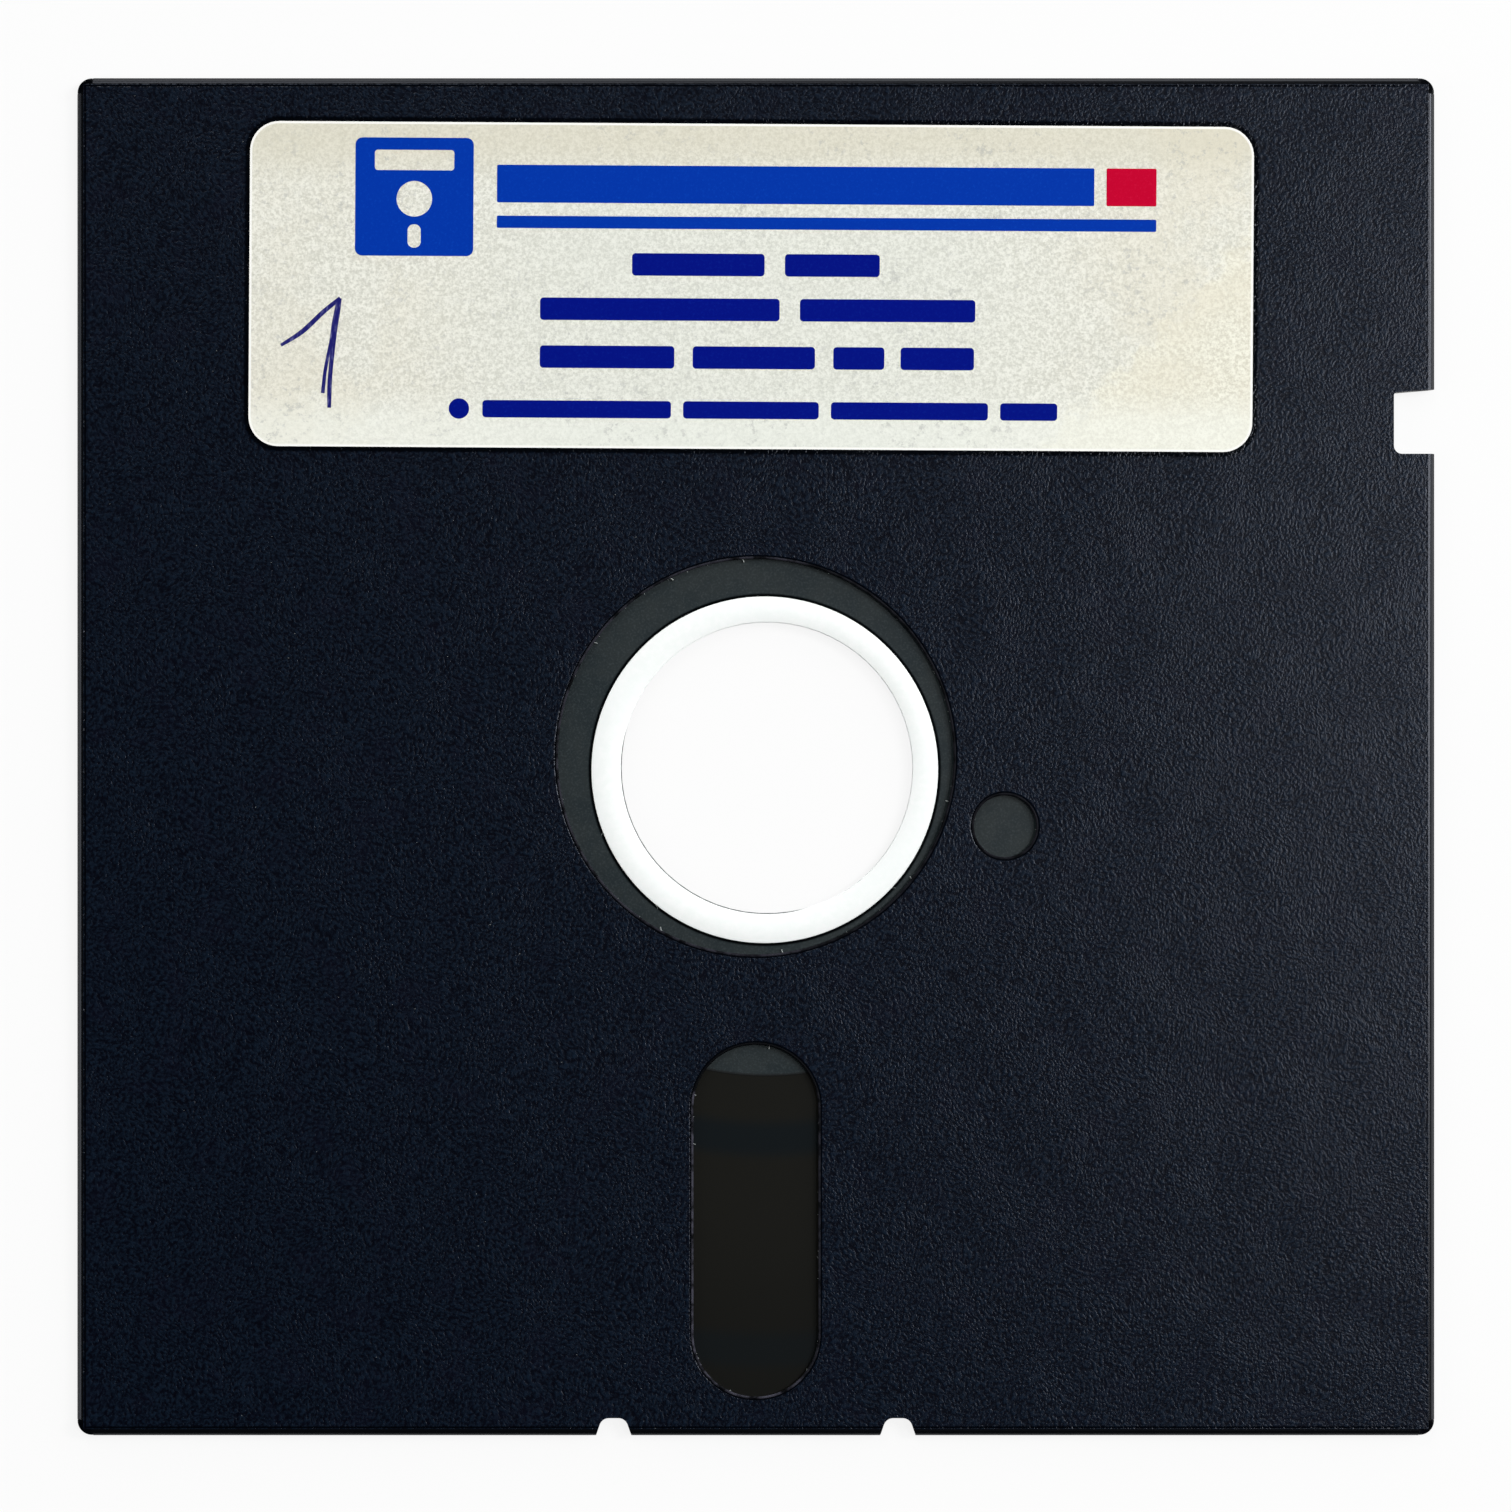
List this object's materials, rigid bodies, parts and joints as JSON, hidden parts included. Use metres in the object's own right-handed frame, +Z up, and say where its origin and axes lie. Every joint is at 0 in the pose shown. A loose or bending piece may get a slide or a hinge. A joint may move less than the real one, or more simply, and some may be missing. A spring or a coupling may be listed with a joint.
{
  "type": "floppy disk",
  "caption": "Flexible magnetic disk in a square folded vinyl jacket with a hub window, head slot, index window and paper label.",
  "frame": {"origin": "middle of the jacket's underside, which is the outer face of its back flaps", "axes": "+X towards the edge with the write notch, +Y towards the labelled end, away from the head slot, and +Z up, out of the labelled face"},
  "size_m": [0.1334, 0.1334, 0.0014],
  "materials": {
    "jacket_vinyl": "matt grained navy-black vinyl",
    "liner_fabric": "pale nonwoven fabric",
    "disk_film": "dark brown oxide coating, smooth, with a matt grey inner zone",
    "ring_plastic": "white satin plastic film",
    "label_paper": "aged off-white paper with blue and red print"
  },
  "bodies": {
    "jacket": {"jacket": "jacket_vinyl", "back_liner": "liner_fabric", "front_liner": "liner_fabric", "label": "label_paper"},
    "disk": {"magnetic_disk": "disk_film", "hub_ring": "ring_plastic"}
  },
  "joints": [
    {"name": "disk_spin", "type": "hinge", "parent": "jacket", "child": "disk", "pos_m": [0.0011, -0.0011, 0.0008], "axis": [0, 0, 1], "continuous": true}
  ]
}
